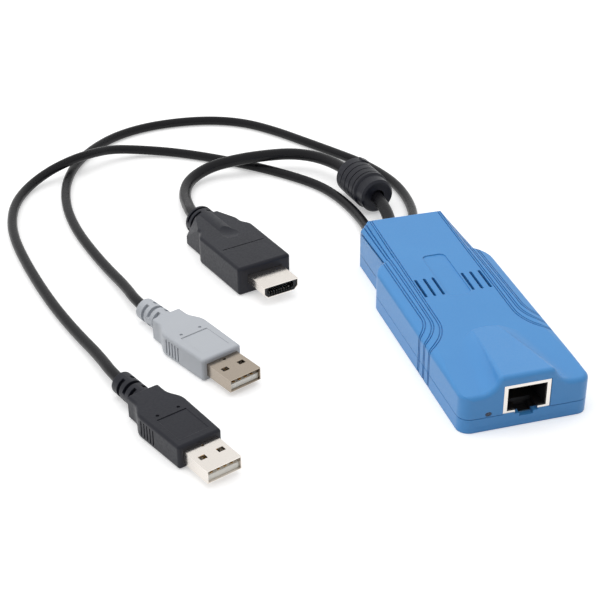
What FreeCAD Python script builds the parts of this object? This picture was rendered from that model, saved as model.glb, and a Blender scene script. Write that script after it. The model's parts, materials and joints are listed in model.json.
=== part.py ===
import FreeCAD, Part
import math
import os
import re
from types import SimpleNamespace

import Sketcher
from FreeCAD import Placement, Rotation, Vector

# Keyboard, video and mouse dongle: a sloping two-shell case with a network socket in front
# and three captive leads behind: one video plug and two data plugs. Millimetres.
# Origin under the middle of the case, +X right, +Y towards the leads, +Z up.

CASE_SIZES = {
    "case_long": 110.0,
    "case_wide": 43.0,
    "tail_wide": 34.4,
    "rear_top": 17.7,
    "front_top": 13.0,
    "part_line": 4.9,
    "wall": 2.0,
    "floor_thick": 1.5,
    "shoulder_from_front": 84.0,
    "ridge_from_front": 75.0,
    "ridge_band_wide": 4.2,
    "tail_band_wide": 3.1,
    "ridge_band_drop": 1.2,
    "shoulder_drop": 2.3,
    "tail_band_drop": 4.5,
    "front_corner": 4.0,
    "shoulder_corner": 7.0,
    "tail_corner": 1.5,
    "rim_round": 1.6,
    "tail_round": 0.8,
    "shadow_high": 0.2,
    "shadow_deep": 0.3,
    "lip_high": 1.2,
    "lip_thick": 0.8,
    "lip_gap": 0.1,
    "lip_end": 7.0,
}
HUMP_SIZES = {
    "hump_top": 18.7,
    "hump_fall": 0.1133,
    "hump_inner_half": 9.3,
    "hump_inner_taper": 0.1414,
    "hump_outer_half": 15.6,
    "hump_outer_taper": 0.1758,
    "hump_side_long": 27.3,
    "hump_apex": 34.3,
    "hump_round": 2.0,
}
TRIM_SIZES = {
    "groove_wide": 0.35,
    "groove_deep": 0.4,
    "groove_step": 0.8,
    "groove_first": 12.8,
    "groove_pair_step": 2.1,
    "groove_bend_from_front": 42.0,
    "groove_bend_step": 1.5,
    "groove_bend_radius": 17.1,
    "groove_radius_step": 2.6,
    "vent_wide": 1.0,
    "vent_long": 11.1,
    "vent_first": 5.35,
    "vent_step": 3.12,
    "vent_from_front": 56.0,
    "label_wide": 8.4,
    "label_long": 26.5,
    "label_corner": 2.0,
    "label_deep": 0.3,
    "label_from_front": 54.5,
}
SCREW_SIZES = {
    "screw_shank": 1.1,
    "screw_head": 2.0,
    "head_high": 1.3,
    "head_sink": 1.5,
    "screw_bite": 6.0,
    "screw_gap": 0.05,
    "head_edge": 0.4,
    "tip_gap": 0.5,
    "tip_taper": 1.2,
    "tip_flat": 0.4,
    "drive_long": 2.4,
    "drive_wide": 0.5,
    "drive_deep": 0.7,
    "boss_radius": 2.6,
    "boss_top": 4.2,
    "post_radius": 2.3,
    "front_screw_x": 16.8,
    "front_screw_in": 8.0,
    "rear_screw_x": 12.8,
    "rear_screw_in": 7.5,
}
BOARD_SIZES = {
    "board_wide": 28.0,
    "board_thick": 1.0,
    "board_stand": 0.5,
    "board_front_gap": 0.2,
    "board_rear_in": 13.5,
    "pin_radius": 0.9,
    "pin_gap": 0.1,
    "pin_proud": 0.7,
    "stand_radius": 1.6,
    "pin_x": 11.6,
    "pin_front_in": 26.0,
    "pin_rear_in": 24.0,
}
JACK_SIZES = {
    "jack_wide": 15.4,
    "jack_top": 15.1,
    "jack_long": 13.5,
    "jack_set_back": 0.3,
    "jack_gap": 0.15,
    "shield_thick": 0.3,
    "mouth_wide": 12.9,
    "mouth_low": 5.8,
    "mouth_high": 14.0,
    "plug_bay_long": 11.0,
    "bay_wide": 12.4,
    "latch_wide": 7.5,
    "latch_step": 4.7,
    "catch_wide": 4.3,
    "latch_low": 3.6,
    "pin_pitch": 1.27,
    "pin_wide": 0.4,
    "jack_pin_long": 7.6,
    "jack_pin_fall": 2.4,
    "jack_pin_thick": 0.35,
    "jack_pin_gap": 0.05,
    "jack_pin_drop": 0.6,
    "bay_edge": 0.3,
}
LED_SIZES = {
    "led_x": 12.6,
    "led_z": 6.1,
    "lens_wide": 2.0,
    "lens_high": 1.4,
    "lens_long": 4.6,
    "lens_gap": 0.05,
    "led_body": 2.6,
    "led_deep": 2.4,
    "led_high": 4.2,
}
CHIP_SIZES = {
    "controller_side": 14.0,
    "controller_high": 1.5,
    "controller_bevel": 0.3,
    "controller_from_front": 46.0,
    "memory_wide": 8.0,
    "memory_long": 12.0,
    "memory_high": 1.1,
    "memory_bevel": 0.2,
    "memory_from_front": 63.0,
    "magnetics_wide": 13.0,
    "magnetics_long": 9.0,
    "magnetics_high": 5.4,
    "magnetics_bevel": 0.4,
    "magnetics_from_front": 27.0,
    "crystal_long": 10.6,
    "crystal_wide": 4.4,
    "crystal_high": 3.4,
    "crystal_brim": 0.4,
    "brim_high": 0.5,
    "crystal_x": 9.6,
    "crystal_from_front": 63.0,
    "capacitor_long": 2.0,
    "capacitor_wide": 1.25,
    "capacitor_high": 0.9,
    "capacitor_pitch": 4.0,
    "capacitor_x": 11.8,
}
LEAD_SIZES = {
    "data_cable": 3.8,
    "video_cable": 4.8,
    "exit_x": 8.5,
    "bush_neck": 0.5,
    "bush_flange": 1.5,
    "bush_lip": 0.45,
    "bush_proud": 1.2,
    "bush_gap": 0.05,
    "header_long": 5.0,
    "header_high": 4.6,
    "header_rear_gap": 1.0,
    "header_wall": 0.8,
    "header_back_wall": 1.2,
    "header_floor": 3.2,
    "video_header_wide": 11.0,
    "data_header_wide": 6.4,
    "wire_pitch": 0.8,
    "wire_radius": 0.36,
    "video_wire_span": 9.0,
    "data_wire_span": 4.0,
    "wire_gap": 0.1,
    "header_shift": 0.6,
}
FERRITE_SIZES = {
    "ferrite_long": 22.5,
    "ferrite_radius": 7.5,
    "collar_radius": 6.8,
    "collar_long": 5.2,
    "core_radius": 6.0,
    "core_long": 15.0,
    "bore_gap": 0.35,
    "core_gap": 0.1,
    "ring_wide": 0.45,
    "ring_deep": 0.45,
    "ring_pitch": 3.3,
    "ring_first": 1.6,
    "ferrite_edge": 0.8,
    "collar_step": 0.2,
    "lug_wide": 3.2,
    "lug_long": 3.0,
    "lug_proud": 0.5,
    "lug_sink": 0.9,
    "lug_from_end": 4.2,
    "lug_turn": 210.0,
    "ferrite_x": 2.7,
    "ferrite_y": 91.3,
    "ferrite_turn": 8.2,
}
DATA_PLUG_SIZES = {
    "data_axis": 4.1,
    "data_shell_wide": 12.0,
    "data_shell_high": 4.5,
    "data_shell_out": 12.4,
    "data_shell_in": 2.0,
    "data_shell_wall": 0.3,
    "window_wide": 2.4,
    "window_long": 1.9,
    "window_x": 3.2,
    "window_y": 6.45,
    "tongue_wide": 11.1,
    "tongue_high": 1.85,
    "tongue_set_back": 0.9,
    "tongue_gap": 0.05,
    "contact_wide": 1.0,
    "contact_long": 7.4,
    "contact_thick": 0.15,
    "contact_pitch": 2.4,
    "data_grip_front": 15.4,
    "data_grip_wide": 16.6,
    "data_grip_high": 8.2,
    "data_grip_end": 44.0,
    "data_shoulder": 32.5,
    "data_neck_wide": 11.4,
    "data_tail_radius": 3.85,
    "data_tail_end": 57.0,
    "data_grip_round": 1.0,
    "contact_set_back": 0.6,
    "grip_gap": 0.05,
    "neck_swell": 0.2,
    "bore_long": 8.0,
    "bore_end_gap": 0.2,
    "rib_deep": 0.8,
    "rib_wide": 0.55,
    "rib_pitch": 1.6,
    "rib_from_shoulder": 7.0,
    "rib_margin": 1.4,
    "slot_web": 2.2,
    "data_slot_first": 1.6,
    "data_slot_pitch": 3.4,
    "line_half": 5.2,
    "line_wide": 0.4,
    "line_deep": 0.25,
    "line_from_shoulder": 4.9,
    "panel_deep": 0.12,
    "panel_from_front": 3.2,
    "lock_radius": 0.55,
    "lock_from_grip": 1.1,
    "dimple_x": 3.75,
    "dimple_radius": 0.55,
    "dimple_deep": 0.4,
    "dimple_from_shoulder": 2.7,
}
VIDEO_PLUG_SIZES = {
    "video_axis": 5.5,
    "video_shell_wide": 13.9,
    "video_shell_high": 4.45,
    "video_shell_cut": 1.5,
    "video_shell_out": 11.3,
    "video_shell_in": 2.0,
    "video_bay_wide": 10.6,
    "video_bay_high": 2.1,
    "video_bay_floor": 3.0,
    "video_contact_pitch": 1.0,
    "video_grip_front": 21.4,
    "video_grip_wide": 22.0,
    "video_grip_high": 11.0,
    "video_grip_end": 55.0,
    "video_shoulder": 39.0,
    "video_neck_wide": 17.4,
    "video_tail_radius": 5.8,
    "video_tail_start": 36.0,
    "video_tail_end": 61.0,
    "video_grip_round": 1.1,
    "insert_set_back": 0.5,
    "comb_wide": 0.55,
    "comb_long": 0.9,
    "video_contact_wide": 0.45,
    "video_sweep": 6.0,
    "video_slot_first": 1.2,
    "video_slot_pitch": 2.6,
    "video_line_half": 8.5,
    "video_line_from_shoulder": 12.7,
    "bevel_inner": 4.6,
    "bevel_low": 4.0,
    "thumb_radius": 3.4,
    "thumb_deep": 0.45,
    "thumb_from_shoulder": 2.4,
}
SIZE_GROUPS = (CASE_SIZES, HUMP_SIZES, TRIM_SIZES, SCREW_SIZES, BOARD_SIZES, JACK_SIZES, LED_SIZES,
               CHIP_SIZES, LEAD_SIZES, FERRITE_SIZES, DATA_PLUG_SIZES, VIDEO_PLUG_SIZES)

doc = FreeCAD.newDocument("kvm_dongle")
sheet = doc.addObject("Spreadsheet::Sheet", "Sizes")


def fill_sheet():
    """One row for each driving size: its name, and its value under an alias of that name."""
    row = 1
    for group in SIZE_GROUPS:
        for name, value in group.items():
            sheet.set("A%d" % row, name)
            sheet.set("B%d" % row, str(value))
            sheet.setAlias("B%d" % row, name)
            row += 1
    doc.recompute()
    names = [name for group in SIZE_GROUPS for name in group]
    return SimpleNamespace(**{name: float(sheet.get(name)) for name in names})


s = fill_sheet()
NAMES = set(vars(s))
NODES = []


def bound(text):
    """An expression in which each size name points at its cell."""
    return re.sub(r"[a-z_]+", lambda hit: "Sizes." + hit.group() if hit.group() in NAMES else hit.group(), text)


def bind(item, **expressions):
    for name, text in expressions.items():
        item.setExpression(name.replace("__", "."), bound(text))


def node(item, name):
    """Registers a finished sub-part under the name that its file gets."""
    item.Label = name
    NODES.append(item)
    return item


def shaped(name, shape, placement=None):
    """A sub-part whose form comes from Part's functions."""
    item = doc.addObject("Part::Feature", name)
    item.Shape = shape
    if placement:
        item.Placement = placement
    return node(item, name)


def block(name, across, along, up, x="0", y="0", z="0"):
    """A bound box, centred on x, starting at y and z."""
    item = doc.addObject("Part::Box", name)
    bind(item, Length=across, Width=along, Height=up, Placement__Base__x="(%s) - (%s)/2" % (x, across),
         Placement__Base__y=y, Placement__Base__z=z)
    return item


def joined(kind, name, base, tools):
    """A boolean of one base with its tools: Cut, or Fuse."""
    for number, tool in enumerate(tools):
        last = number == len(tools) - 1
        item = doc.addObject("Part::" + kind, name if last else "%s_%d" % (name, number))
        item.Base = base
        item.Tool = tool
        base = item
    return base


def sketched(body, name, plane, points):
    """A closed outline whose corners are bound to the sheet, on one of the body's origin planes."""
    sketch = body.newObject("Sketcher::SketchObject", name)
    origin = [item for item in body.Origin.OriginFeatures if item.Role == plane][0]
    sketch.AttachmentSupport = [(origin, "")]
    sketch.MapMode = "FlatFace"
    flat = [Vector(1.0 + number, (number * number) % 7, 0) for number in range(len(points))]
    for number, start in enumerate(flat):
        sketch.addGeometry(Part.LineSegment(start, flat[(number + 1) % len(flat)]), False)
    for number in range(len(points)):
        sketch.addConstraint(Sketcher.Constraint("Coincident", number, 2, (number + 1) % len(points), 1))
    for number, (across, up) in enumerate(points):
        for kind, text in (("DistanceX", across), ("DistanceY", up)):
            rule = sketch.addConstraint(Sketcher.Constraint(kind, -1, 1, number, 1, 1.0))
            sketch.setExpression("Constraints[%d]" % rule, bound(text))
    return sketch


# ---------------------------------------------------------------- case form
FRONT = -s.case_long / 2
REAR = s.case_long / 2
SLOPE = (s.rear_top - s.front_top) / s.case_long
WIDE_HALF = s.case_wide / 2
TAIL_HALF = s.tail_wide / 2
SHOULDER_Y = FRONT + s.shoulder_from_front
SKY = s.hump_top + 10
OVER = 1.0


def top_height(y):
    """The main top face: a plane that rises from the front face to the rear face."""
    return s.front_top + SLOPE * (y - FRONT)


def line(first, second):
    return Part.LineSegment(Vector(*first), Vector(*second)).toShape()


def slab(half, front, back, low, high):
    return Part.makeBox(2 * half, back - front, high - low, Vector(-half, front, low))


def upright_edges(shape, y_low, y_high, x_low=-SKY):
    """The upright edges of a prism whose place along Y is between two values."""
    found = []
    for edge in shape.Edges:
        start, end = edge.Vertexes[0].Point, edge.Vertexes[-1].Point
        if abs(start.x - end.x) + abs(start.y - end.y) < 1e-6 and y_low <= start.y <= y_high and start.x > x_low:
            found.append(edge)
    return found


def top_station(y, flat_half, band_z, edge_z, inset):
    """Half of the roof outline at one station: flat middle, side band, then the shoulder."""
    reach = WIDE_HALF + 4
    band_half = TAIL_HALF + 0.1
    edge_far = band_z + (edge_z - band_z) * (reach - band_half) / (WIDE_HALF - band_half)
    right = [(flat_half - 0.5 * inset, top_height(y) - inset), (band_half - 0.7 * inset, band_z - inset),
             (reach, edge_far - inset), (reach, -OVER)]
    left = [(-x, z) for x, z in reversed(right)]
    return Part.makePolygon([Vector(x, y, z) for x, z in right + left + right[:1]])


def above(first, second, third):
    """The space above the plane through three points, given anticlockwise from above."""
    normal = (second - first).cross(third - first).normalize()
    side = (second - first).normalize()
    ahead = normal.cross(side)
    reach = 2 * s.case_long
    corners = [first + side * (a * reach) + ahead * (b * reach) for a, b in ((-1, -1), (1, -1), (1, 1), (-1, 1))]
    return Part.Face(Part.makePolygon(corners + corners[:1])).extrude(normal * SKY)


def tail_roof(inset):
    """Everything below the rear part's upper faces, whose side bands deepen to the rear."""
    ridge, back = FRONT + s.ridge_from_front, REAR + OVER
    stations = [
        top_station(back, TAIL_HALF - s.tail_band_wide, top_height(back) - s.tail_band_drop,
                    top_height(back) - s.tail_band_drop, inset),
        top_station(ridge, TAIL_HALF - s.ridge_band_wide, top_height(ridge) - s.ridge_band_drop,
                    top_height(ridge) - s.ridge_band_drop, inset)]
    return Part.makeLoft(stations, True, True)


def roof_edges(shape):
    """Edges between an upright face and an upper face."""
    upright, upper = [], []
    for face in shape.Faces:
        low, high, left, right = face.ParameterRange
        normal = face.normalAt((low + high) / 2, (left + right) / 2)
        if abs(normal.z) < 0.02:
            upright.append(face)
        elif normal.z > 0.2:
            upper.append(face)
    return [edge for edge in shape.Edges
            if any(edge.isSame(other) for face in upright for other in face.Edges)
            and any(edge.isSame(other) for face in upper for other in face.Edges)]


def wide_slab(inset, base, side, roof_points):
    """One rounded slab in plan under one sloping plane, with its upper edges rounded."""
    half = WIDE_HALF - inset
    far = half if side == 0 else 2 * half
    form = Part.makeBox(half + far, SHOULDER_Y - FRONT - 2 * inset, SKY - base, Vector(-far, FRONT + inset, base))
    form = form.makeFillet(s.shoulder_corner - inset, upright_edges(form, 0, SHOULDER_Y, -far + OVER * side))
    form = form.makeFillet(s.front_corner - inset, upright_edges(form, FRONT, FRONT / 2, -far + OVER * side))
    lowered = [point - Vector(0, 0, inset) for point in roof_points]
    form = form.cut(above(*lowered))
    if s.rim_round > inset + 0.2:
        edges = [edge for edge in roof_edges(form) if edge.CenterOfMass.x > -far + OVER * side]
        form = form.makeFillet(s.rim_round - inset, edges)
    return form


def wide_form(inset, base):
    """The front part: the main plane with a falling shoulder plane each side."""
    half = WIDE_HALF
    back = top_height(SHOULDER_Y)
    front_corner = Vector(half, FRONT, s.front_top)
    main = [Vector(0, FRONT, s.front_top), front_corner, Vector(0, SHOULDER_Y, back)]
    shoulder = [front_corner, Vector(half, SHOULDER_Y, back - s.shoulder_drop),
                Vector(TAIL_HALF - s.ridge_band_wide, SHOULDER_Y, back)]
    right = wide_slab(inset, base, 1, shoulder)
    left = right.mirror(Vector(0, 0, 0), Vector(1, 0, 0))
    return wide_slab(inset, base, 0, main).common(right).common(left)


def tail_form(inset, base, back_inset):
    """The narrow rear part, which runs on into the front part."""
    form = slab(TAIL_HALF - inset, FRONT + s.ridge_from_front, REAR - back_inset, base, SKY)
    corner = s.tail_corner - min(inset, s.tail_corner - 0.3)
    form = form.makeFillet(corner, upright_edges(form, SHOULDER_Y, REAR + 3 * OVER))
    return form.common(tail_roof(inset))


def bow(centre, start, end):
    """The shorter arc about a centre from one point to another."""
    middle = ((start - centre) + (end - centre)).normalize() * (start - centre).Length
    return Part.Arc(start, centre + middle, end).toShape()


def hump_section(y, inset):
    """Flat top, rounded edges, a hollow arc down each side that runs out flush on the roof, buried base."""
    run = y - FRONT
    inner = s.hump_inner_half - s.hump_inner_taper * run
    outer = s.hump_outer_half - s.hump_outer_taper * run
    top = s.hump_top - s.hump_fall * run
    low = top_height(y)
    rise = top - low
    flush_radius = ((outer - inner) ** 2 + rise ** 2) / (2 * rise)
    hollow_radius, edge_radius = flush_radius + inset, s.hump_round - inset
    hollow_centre = Vector(outer, y, low + flush_radius)
    drop = hollow_centre.z - (top - inset) + edge_radius
    edge_x = outer - math.sqrt((hollow_radius + edge_radius) ** 2 - drop ** 2)
    edge_centre = Vector(edge_x, y, top - inset - edge_radius)
    points = [Vector(outer, y, low - s.rim_round - OVER), Vector(outer, y, low - inset),
              hollow_centre + (edge_centre - hollow_centre).normalize() * hollow_radius,
              Vector(edge_x, y, top - inset)]
    mirror = [Vector(-point.x, y, point.z) for point in points]
    return Part.Wire([
        line(points[0], points[1]), bow(hollow_centre, points[1], points[2]),
        bow(edge_centre, points[2], points[3]), line(points[3], mirror[3]),
        bow(Vector(-edge_x, y, edge_centre.z), mirror[3], mirror[2]),
        bow(Vector(-outer, y, hollow_centre.z), mirror[2], mirror[1]),
        line(mirror[1], mirror[0]), line(mirror[0], points[0])])


def hump_form():
    """The raised roof over the socket: its front rim is rounded in steps, it falls to the rear and
    ends in an arch in plan."""
    steps = 4
    turns = [math.pi / 2 * step / steps for step in range(steps + 1)]
    sections = [hump_section(FRONT + s.rim_round * (1 - math.cos(turn)), s.rim_round * (1 - math.sin(turn)))
                for turn in turns]
    sections.append(hump_section(FRONT + s.hump_apex + OVER / 2, 0))
    form = Part.makeLoft(sections, True, True)
    side_y = FRONT + s.hump_side_long
    side_half = s.hump_outer_half - s.hump_outer_taper * s.hump_side_long
    wide = s.hump_outer_half + OVER
    corner = side_half + s.hump_outer_taper * OVER
    arch = Part.Arc(Vector(side_half, side_y, 0), Vector(0, FRONT + s.hump_apex, 0), Vector(-side_half, side_y, 0))
    corners = [Vector(-side_half, side_y, 0), Vector(-wide - corner, side_y, 0),
               Vector(-wide - corner, FRONT - OVER, 0), Vector(wide + corner, FRONT - OVER, 0),
               Vector(wide + corner, side_y, 0), Vector(side_half, side_y, 0)]
    lines = [Part.LineSegment(corners[i], corners[i + 1]).toShape() for i in range(5)]
    plan = Part.Face(Part.Wire([arch.toShape()] + lines)).extrude(Vector(0, 0, SKY))
    return form.common(plan)


def case_form(inset, base, back_inset):
    """The whole case outside the hump, drawn in by the inset."""
    tail = tail_form(inset, base, back_inset)
    if s.tail_round > inset:
        edges = [edge for edge in roof_edges(tail) if edge.CenterOfMass.y > FRONT + s.ridge_from_front + OVER]
        tail = tail.makeFillet(s.tail_round - inset, edges)
    return wide_form(inset, base).fuse(tail)


def groove_curtain(start_x, bend_y, radius):
    """An upright sheet along one groove: straight from the rear, then curling out to the side."""
    low, high = -OVER, SKY
    half = s.groove_wide / 2
    turn = math.acos(1 - (WIDE_HALF + OVER - start_x) / radius)
    straight = Part.makeBox(s.groove_wide, REAR + OVER - bend_y, high - low, Vector(start_x - half, bend_y, low))
    centre = Vector(start_x + radius, bend_y, 0)

    def on_arc(arc_radius, angle):
        return centre + Vector(-arc_radius * math.cos(angle), -arc_radius * math.sin(angle), 0)
    edges = []
    for arc_radius, first, last in ((radius + half, 0, turn), (radius - half, turn, 0)):
        edges.append(Part.Arc(on_arc(arc_radius, first), on_arc(arc_radius, turn / 2), on_arc(arc_radius, last)))
    closers = [Part.LineSegment(on_arc(radius + half, turn), on_arc(radius - half, turn)),
               Part.LineSegment(on_arc(radius - half, 0), on_arc(radius + half, 0))]
    wire = Part.Wire([edges[0].toShape(), closers[0].toShape(), edges[1].toShape(), closers[1].toShape()])
    curl = Part.Face(wire).extrude(Vector(0, 0, high - low))
    curl.translate(Vector(0, 0, low))
    return straight.fuse(curl)


def groove_curtains():
    """Three double lines each side."""
    right = []
    for pair in range(3):
        for fellow in range(2):
            start_x = s.groove_first + pair * s.groove_pair_step + fellow * s.groove_step
            bend_y = FRONT + s.groove_bend_from_front + pair * s.groove_bend_step
            radius = s.groove_bend_radius - pair * s.groove_radius_step - fellow * s.groove_step
            right.append(groove_curtain(start_x, bend_y, radius))
    left = [curtain.mirror(Vector(0, 0, 0), Vector(1, 0, 0)) for curtain in right]
    return Part.makeCompound(right + left)


def rounded_prism(x, front, wide, length, corner, low, high):
    """An upright prism on a rounded rectangle; its corner may be half its width."""
    form = Part.makeBox(wide, length, high - low, Vector(x - wide / 2, front, low))
    return form.makeFillet(min(corner, 0.499 * wide), upright_edges(form, -SKY * 9, SKY * 9))


def screw_places():
    front_y = FRONT + s.front_screw_in
    rear_y = REAR - s.rear_screw_in
    return [Vector(side * x, y, 0) for x, y in ((s.front_screw_x, front_y), (s.rear_screw_x, rear_y))
            for side in (-1, 1)]


def rod(radius, low, high, place):
    return Part.makeCylinder(radius, high - low, Vector(place.x, place.y, low))


LIP_FRONT = FRONT + s.lip_end
LIP_BACK = REAR - s.lip_end
BOARD_LOW = s.floor_thick + s.board_stand
BOARD_TOP = BOARD_LOW + s.board_thick
JACK_FRONT = FRONT + s.jack_set_back
JACK_HALF = s.jack_wide / 2
JACK_BACK = JACK_FRONT + s.jack_long
INNER_FRONT = FRONT + s.wall
INNER_REAR = REAR - s.wall
LEAD_START = INNER_REAR - OVER
EXITS = {"data_left": (-s.exit_x, s.data_cable / 2), "video": (0.0, s.video_cable / 2),
         "data_right": (s.exit_x, s.data_cable / 2)}


def exit_holes():
    """Round holes through the rear wall on the parting line, one for each bush."""
    return [Part.makeCylinder(radius + s.bush_neck + s.bush_gap, s.wall + 2 * OVER,
                              Vector(x, INNER_REAR - OVER, s.part_line), Vector(0, 1, 0))
            for x, radius in EXITS.values()]


def lip_ring(outer_inset, inner_inset, high):
    """The upstand on both side walls that locates the two shells."""
    ring = case_form(outer_inset, -OVER, outer_inset).cut(case_form(inner_inset, -2 * OVER, inner_inset))
    return ring.common(slab(WIDE_HALF, LIP_FRONT, LIP_BACK, s.part_line, s.part_line + high))


def grooved_case():
    """The outer form with its double lines and the bare recess for a label cut in."""
    case = case_form(0, 0, 0)
    core = case_form(s.groove_deep, -2 * OVER, -OVER / 2)
    case = case.cut(groove_curtains().cut(core))
    recess = rounded_prism(0, FRONT + s.label_from_front, s.label_wide, s.label_long, s.label_corner, 0, SKY)
    case = case.cut(recess.cut(case_form(s.label_deep, -OVER, 0)))
    return case.fuse(hump_form())


def vents():
    slots = []
    for place in range(3):
        for side in (-1, 1):
            x = side * (s.vent_first + place * s.vent_step)
            slots.append(rounded_prism(x, FRONT + s.vent_from_front, s.vent_wide, s.vent_long,
                                       s.vent_wide, s.part_line + s.lip_high, SKY))
    return slots


def hollow():
    """The room inside both shells."""
    room = case_form(s.wall, s.floor_thick, s.wall)
    jack_half = JACK_HALF + s.jack_gap
    jack_room = slab(jack_half, INNER_FRONT - OVER / 100, JACK_BACK + s.jack_gap, s.floor_thick,
                     s.jack_top + s.jack_gap)
    return room.fuse(jack_room)


def top_cover(case, room):
    low = slab(WIDE_HALF + OVER, FRONT - OVER, REAR + OVER, -OVER, s.part_line)
    posts = [rod(s.post_radius, s.boss_top, SKY, place) for place in screw_places()]
    shell = case.cut([room, low])
    inside = case_form(s.wall / 2, -OVER, s.wall / 2)
    shell = shell.fuse([post.common(inside) for post in posts])
    pilots = [rod(s.screw_shank + s.screw_gap, -OVER, s.boss_top + s.screw_bite, place) for place in screw_places()]
    jack_half = JACK_HALF + s.jack_gap
    mouth = slab(jack_half, FRONT - OVER, INNER_FRONT + OVER, s.part_line - OVER, s.jack_top + s.jack_gap)
    seat = rounded_slot(s.lens_wide + 2 * s.lens_gap, s.lens_high + 2 * s.lens_gap, FRONT - OVER, s.wall + 2 * OVER)
    rebate = lip_ring(s.wall - s.lip_thick - s.lip_gap, s.wall, s.lip_high + s.lip_gap)
    rim = slab(WIDE_HALF + OVER, FRONT - OVER, REAR + OVER, s.part_line, s.part_line + s.shadow_high)
    shadow = rim.cut(case_form(s.shadow_deep, -OVER, s.shadow_deep))
    return shell.cut(pilots + [mouth, seat, rebate, shadow] + vents() + exit_holes())


def rounded_slot(wide, high, front, length):
    """A bar of long round section along Y at the indicator's place."""
    flat = wide - high
    bar = Part.makeBox(flat, length, high, Vector(-s.led_x - flat / 2, front, s.led_z - high / 2))
    ends = [Part.makeCylinder(high / 2, length, Vector(-s.led_x + side * flat / 2, front, s.led_z), Vector(0, 1, 0))
            for side in (-1, 1)]
    return bar.fuse(ends).removeSplitter()


def pin_places():
    return [Vector(side * s.pin_x, y, 0) for y in (FRONT + s.pin_front_in, REAR - s.pin_rear_in) for side in (-1, 1)]


def bottom_cover(case, room):
    high = slab(WIDE_HALF + OVER, FRONT - OVER, REAR + OVER, s.part_line, SKY)
    tray = case.cut([room, high])
    bosses = [rod(s.boss_radius, s.floor_thick / 2, s.boss_top, place) for place in screw_places()]
    stands = [rod(s.stand_radius, s.floor_thick / 2, BOARD_LOW, place) for place in pin_places()]
    pins = [rod(s.pin_radius, s.floor_thick / 2, BOARD_TOP + s.pin_proud, place) for place in pin_places()]
    lip = lip_ring(s.wall - s.lip_thick, s.wall, s.lip_high)
    foot = lip_ring(s.wall - s.lip_thick, s.wall, s.lip_high)
    foot.translate(Vector(0, 0, -s.lip_high / 2))
    tray = tray.fuse(bosses + stands + pins + [lip.fuse(foot)])
    sinks = [rod(s.screw_head + 2 * s.screw_gap, -OVER, s.head_sink, place) for place in screw_places()]
    holes = [rod(s.screw_shank + s.screw_gap, -OVER, s.part_line, place) for place in screw_places()]
    notches = [slab(wide / 2 + s.jack_gap, FRONT - OVER, INNER_FRONT + OVER, low - s.jack_gap, SKY)
               for wide, low in ((s.latch_wide, s.latch_step), (s.catch_wide, s.latch_low))]
    return tray.cut(sinks + holes + notches + exit_holes())


case = grooved_case()
room = hollow()
shaped("top_cover", top_cover(case, room))
shaped("bottom_cover", bottom_cover(case, room))


# ---------------------------------------------------------------- screws
def turned_profile(points):
    """A solid of revolution about Z from (radius, height) corners."""
    wire = Part.makePolygon([Vector(r, 0, z) for r, z in points + points[:1]])
    return Part.Face(wire).revolve(Vector(0, 0, 0), Vector(0, 0, 1), 360)


def cover_screws():
    """Four self-tapping screws, driven in from below: pan head, plain shank, cut point."""
    low = s.head_sink - s.head_high
    tip = s.boss_top + s.screw_bite - s.tip_gap
    profile = [(0, low), (s.screw_head - s.head_edge, low), (s.screw_head, low + s.head_edge),
               (s.screw_head, s.head_sink), (s.screw_shank, s.head_sink), (s.screw_shank, tip - s.tip_taper),
               (s.tip_flat, tip), (0, tip)]
    screw = turned_profile(profile)
    for turn in (0, 90):
        slot = slab(s.drive_long / 2, -s.drive_wide / 2, s.drive_wide / 2, low - s.drive_deep, low + s.drive_deep)
        slot.rotate(Vector(0, 0, 0), Vector(0, 0, 1), turn)
        screw = screw.cut(slot)
    return Part.makeCompound([screw.translated(place) for place in screw_places()])


shaped("cover_screws", cover_screws())


# ---------------------------------------------------------------- board and what stands on it
def bound_board():
    """The circuit board: a sketched rectangle padded up, with a hole for each locating pin."""
    body = doc.addObject("PartDesign::Body", "main_board")
    half, front, back = "board_wide/2", "-case_long/2 + wall + board_front_gap", "case_long/2 - board_rear_in"
    outline = sketched(body, "board_outline", "XY_Plane",
                       [("-" + half, front), (half, front), (half, back), ("-" + half, back)])
    pad = body.newObject("PartDesign::Pad", "board_pad")
    pad.Profile = outline
    bind(pad, Length="board_thick")
    holes = body.newObject("Sketcher::SketchObject", "pin_holes")
    holes.AttachmentSupport = outline.AttachmentSupport
    holes.MapMode = "FlatFace"
    places = [("-pin_x", "-case_long/2 + pin_front_in"), ("pin_x", "-case_long/2 + pin_front_in"),
              ("-pin_x", "case_long/2 - pin_rear_in"), ("pin_x", "case_long/2 - pin_rear_in")]
    for number, (across, along) in enumerate(places):
        holes.addGeometry(Part.Circle(Vector(number * 5, number, 0), Vector(0, 0, 1), 1), False)
        rules = (("DistanceX", (-1, 1, number, 3, 1.0), across), ("DistanceY", (-1, 1, number, 3, 1.0), along),
                 ("Radius", (number, 1.0), "pin_radius + pin_gap"))
        for kind, words, text in rules:
            rule = holes.addConstraint(Sketcher.Constraint(kind, *words))
            holes.setExpression("Constraints[%d]" % rule, bound(text))
    pocket = body.newObject("PartDesign::Pocket", "pin_hole_cut")
    pocket.Profile = holes
    pocket.Type = 1
    pocket.Midplane = True
    bind(body, Placement__Base__z="floor_thick + board_stand")
    doc.recompute()
    return node(body, "main_board")


BOARD_LEVEL = "floor_thick + board_stand + board_thick"
bound_board()


def chip(name, wide, long, high, front, bevel):
    """A moulded package on the board's centre line, its upper edges bevelled."""
    base = block(name + "_block", wide, long, high, "0", "-case_long/2 + " + front, BOARD_LEVEL)
    doc.recompute()
    item = doc.addObject("Part::Chamfer", name)
    item.Base = base
    top = base.Shape.BoundBox.ZMax
    item.Edges = [(number + 1, bevel, bevel) for number, edge in enumerate(base.Shape.Edges)
                  if edge.BoundBox.ZMin > top - 1e-6]
    return node(item, name)


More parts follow.
